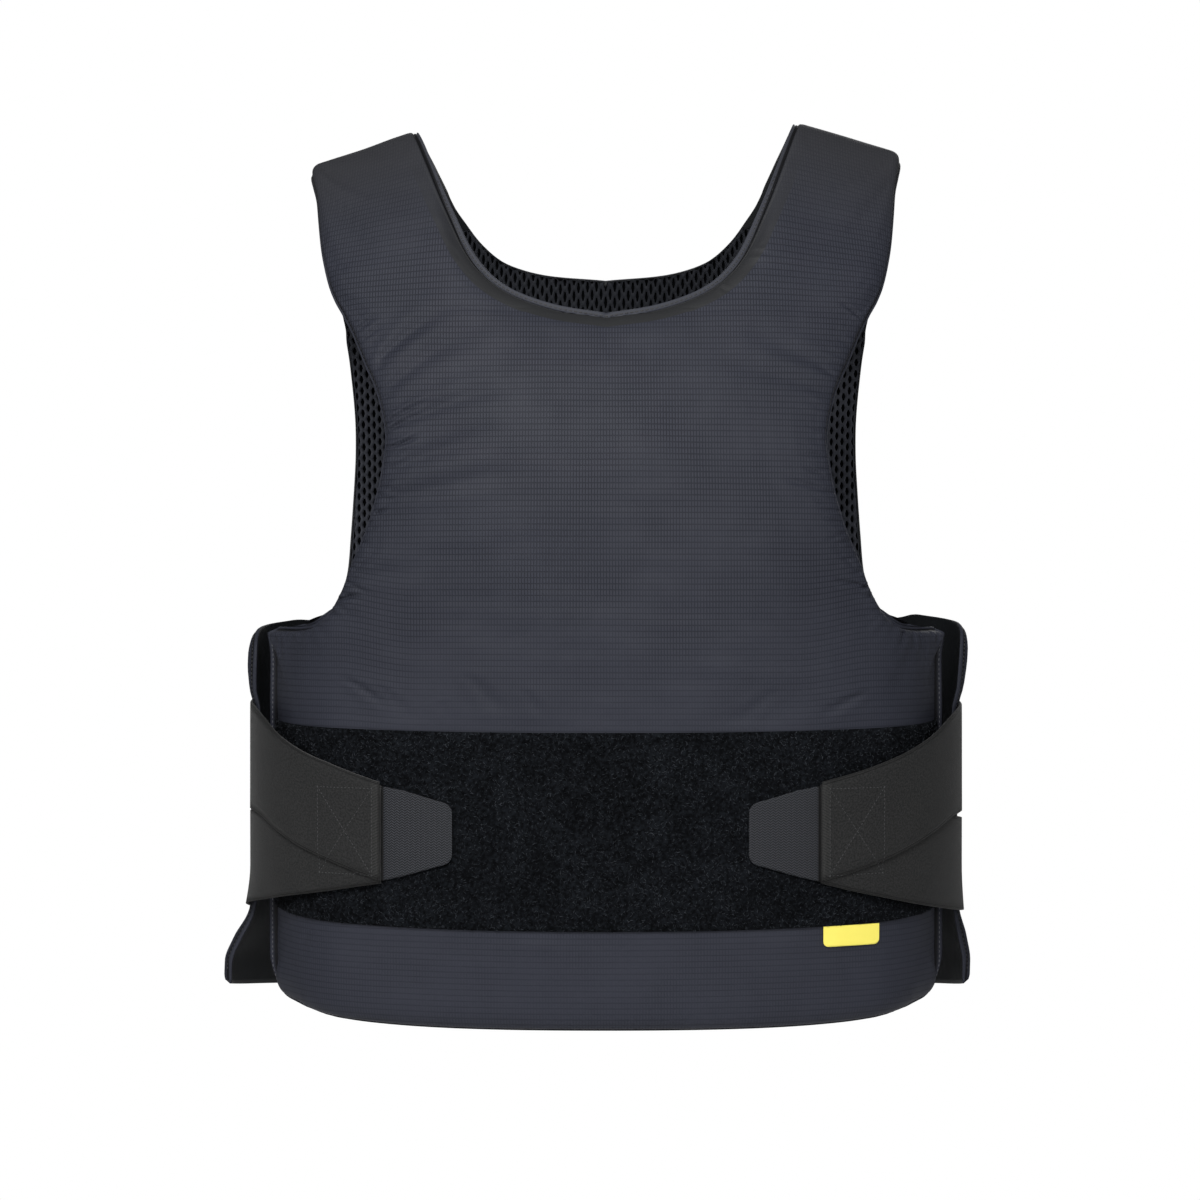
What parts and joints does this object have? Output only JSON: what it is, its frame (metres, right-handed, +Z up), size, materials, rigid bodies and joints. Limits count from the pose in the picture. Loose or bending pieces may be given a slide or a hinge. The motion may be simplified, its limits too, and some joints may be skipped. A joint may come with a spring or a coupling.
{
  "type": "stab vest",
  "caption": "Padded over-the-shoulder protective vest with a V-neck front panel, a winged back panel, a mesh lining and elastic waist bands that close with hook tabs on a loop field.",
  "frame": {"origin": "on the mid-plane at mid-depth, under the shoulder line, where the vest sits on the wearer's shoulders", "axes": "+Z up, the wearer faces -Y, +X is the wearer's left"},
  "size_m": [0.5223, 0.2863, 0.6154],
  "materials": {
    "ripstop": "dark blue-grey ripstop nylon over padding",
    "air_mesh": "near-black open spacer mesh",
    "loop_pile": "near-black fuzzy loop pile",
    "elastic": "black woven elastic webbing",
    "hook_tape": "dark grey twill back of hook tape",
    "yellow_tag": "bare yellow woven tag"
  },
  "bodies": {
    "root": {"front_panel": "ripstop", "back_panel": "ripstop", "back_mesh_lining": "air_mesh", "loop_field": "loop_pile", "upper_band_right": "elastic", "upper_band_left": "elastic", "lower_band_right": "elastic", "lower_band_left": "elastic", "hook_tab_right": "hook_tape", "hook_tab_left": "hook_tape", "side_tag": "yellow_tag"}
  },
  "joints": []
}
